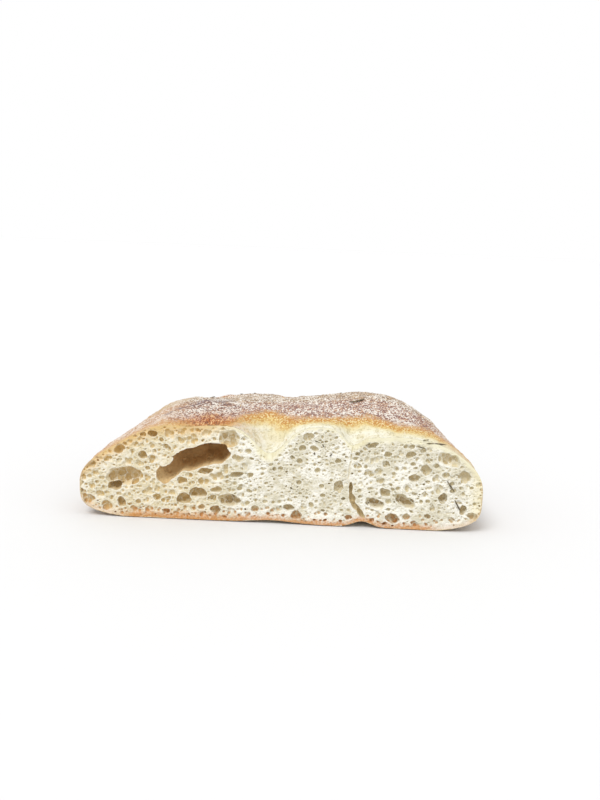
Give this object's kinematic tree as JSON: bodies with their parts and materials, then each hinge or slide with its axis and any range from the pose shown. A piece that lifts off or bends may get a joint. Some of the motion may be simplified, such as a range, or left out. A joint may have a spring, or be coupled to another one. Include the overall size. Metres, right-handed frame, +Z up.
{
  "type": "focaccia",
  "caption": "Half of a low puffed flatbread loaf as cut, with a finger-dimpled floury crust, an open crumb with one deep pocket on the cut face and herb needles.",
  "frame": {"origin": "centre of the bounding box at the flat underside, which is at z = 0", "axes": "+X along the cut, -Y out of the cut face, +Y towards the rounded back end, +Z up"},
  "size_m": [0.16, 0.1044, 0.046],
  "materials": {
    "baked_bread": "matt"
  },
  "bodies": {
    "root": {"focaccia_half": "baked_bread"}
  },
  "joints": []
}
